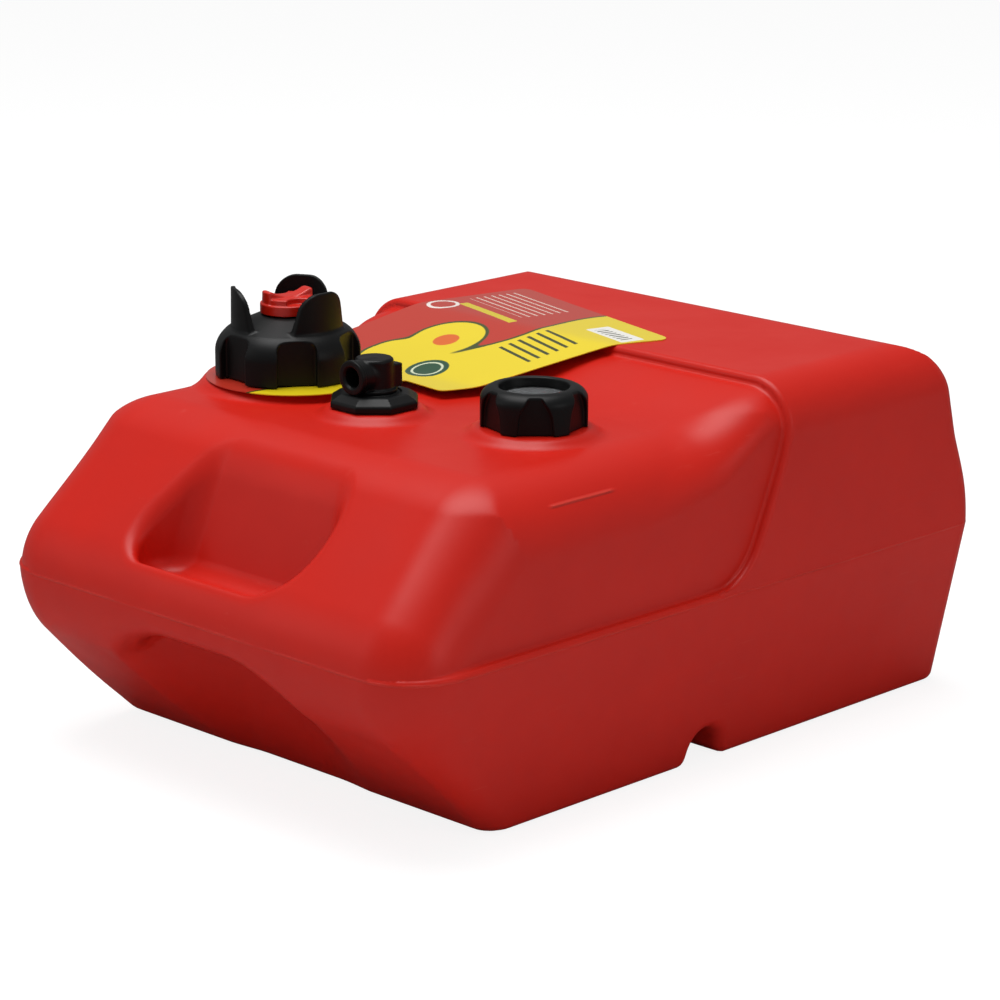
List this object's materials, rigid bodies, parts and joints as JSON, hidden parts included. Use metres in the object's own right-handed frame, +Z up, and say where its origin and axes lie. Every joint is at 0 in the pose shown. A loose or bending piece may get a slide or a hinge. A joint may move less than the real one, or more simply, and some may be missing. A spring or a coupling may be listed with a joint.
{
  "type": "outboard fuel tank",
  "caption": "Portable red outboard fuel tank with carrying handle, vented screw cap, swivelling hose elbow and float level gauge.",
  "frame": {"origin": "on the ground plane, below the centre of the body's bounding box", "axes": "+Z up, -Y towards the carrying handle at the front, +X to the right seen from behind the handle looking along +Y"},
  "size_m": [0.345, 0.472, 0.2521],
  "materials": {
    "tank_red": "satin moulded polyethylene",
    "fitting_black": "fine-grained moulded plastic",
    "knob_red": "smooth moulded plastic",
    "card_print": "printed laminated card",
    "seal_rubber": "moulded rubber",
    "spring_steel": "drawn",
    "stem_plastic": "natural acetal",
    "tube_plastic": "natural polyethylene",
    "strainer_blue": "moulded nylon",
    "float_foam": "closed-cell foam",
    "dial_white": "printed",
    "pointer_red": "moulded plastic",
    "window_clear": "clear moulded window"
  },
  "bodies": {
    "tank": {"tank_upper_shell": "tank_red", "tank_lower_shell": "tank_red", "filler_neck": "tank_red", "label_card": "card_print", "pickup_gasket": "seal_rubber", "pickup_base": "fitting_black", "pickup_tube": "tube_plastic", "pickup_strainer": "strainer_blue", "gauge_gasket": "seal_rubber", "gauge_body": "fitting_black", "gauge_ring": "fitting_black", "gauge_lens": "window_clear", "gauge_lens_seal": "seal_rubber", "gauge_dial": "dial_white", "gauge_rods": "spring_steel", "gauge_foot": "fitting_black"},
    "gasket": {"cap_gasket": "seal_rubber"},
    "cap": {"cap_shell": "fitting_black", "cap_inner_cup": "fitting_black", "vent_spring": "spring_steel"},
    "valve": {"vent_stem": "stem_plastic", "vent_disc": "stem_plastic", "vent_seal": "seal_rubber"},
    "knob": {"vent_knob": "knob_red"},
    "elbow": {"pickup_elbow": "fitting_black", "elbow_seal": "seal_rubber", "elbow_snap_ring": "spring_steel"},
    "float": {"gauge_float": "float_foam"},
    "strip": {"gauge_strip": "spring_steel", "gauge_pointer": "pointer_red"}
  },
  "joints": [
    {"name": "cap_rise", "type": "slide", "parent": "tank", "child": "gasket", "axis": [0, 0, 1], "range_m": [0, 0.0126]},
    {"name": "cap_turn", "type": "hinge", "parent": "gasket", "child": "cap", "pos_m": [-0.1, -0.07, 0.2], "axis": [0, 0, 1], "range_deg": [0, 450]},
    {"name": "vent_lift", "type": "slide", "parent": "cap", "child": "valve", "axis": [0, 0, 1], "range_m": [0, 0.002], "deforming": ["vent_spring"]},
    {"name": "knob_turn", "type": "hinge", "parent": "valve", "child": "knob", "pos_m": [-0.1, -0.07, 0.24], "axis": [0, 0, 1], "range_deg": [0, 90.2]},
    {"name": "elbow_swivel", "type": "hinge", "parent": "tank", "child": "elbow", "pos_m": [-0.009, -0.087, 0.21], "axis": [0, 0, 1], "continuous": true},
    {"name": "float_rise", "type": "slide", "parent": "tank", "child": "float", "axis": [0, 0, 1], "range_m": [0, 0.14]},
    {"name": "strip_turn", "type": "hinge", "parent": "tank", "child": "strip", "pos_m": [0.086, -0.056, 0.1], "axis": [0, 0, 1], "range_deg": [-270.5, 0]}
  ],
  "couplings": [
    {"joint": "cap_rise", "follows": "cap_turn", "m_per_rad": 0.0015915},
    {"joint": "knob_turn", "follows": "vent_lift", "rad_per_m": 785.4},
    {"joint": "strip_turn", "follows": "float_rise", "rad_per_m": -33.66}
  ]
}
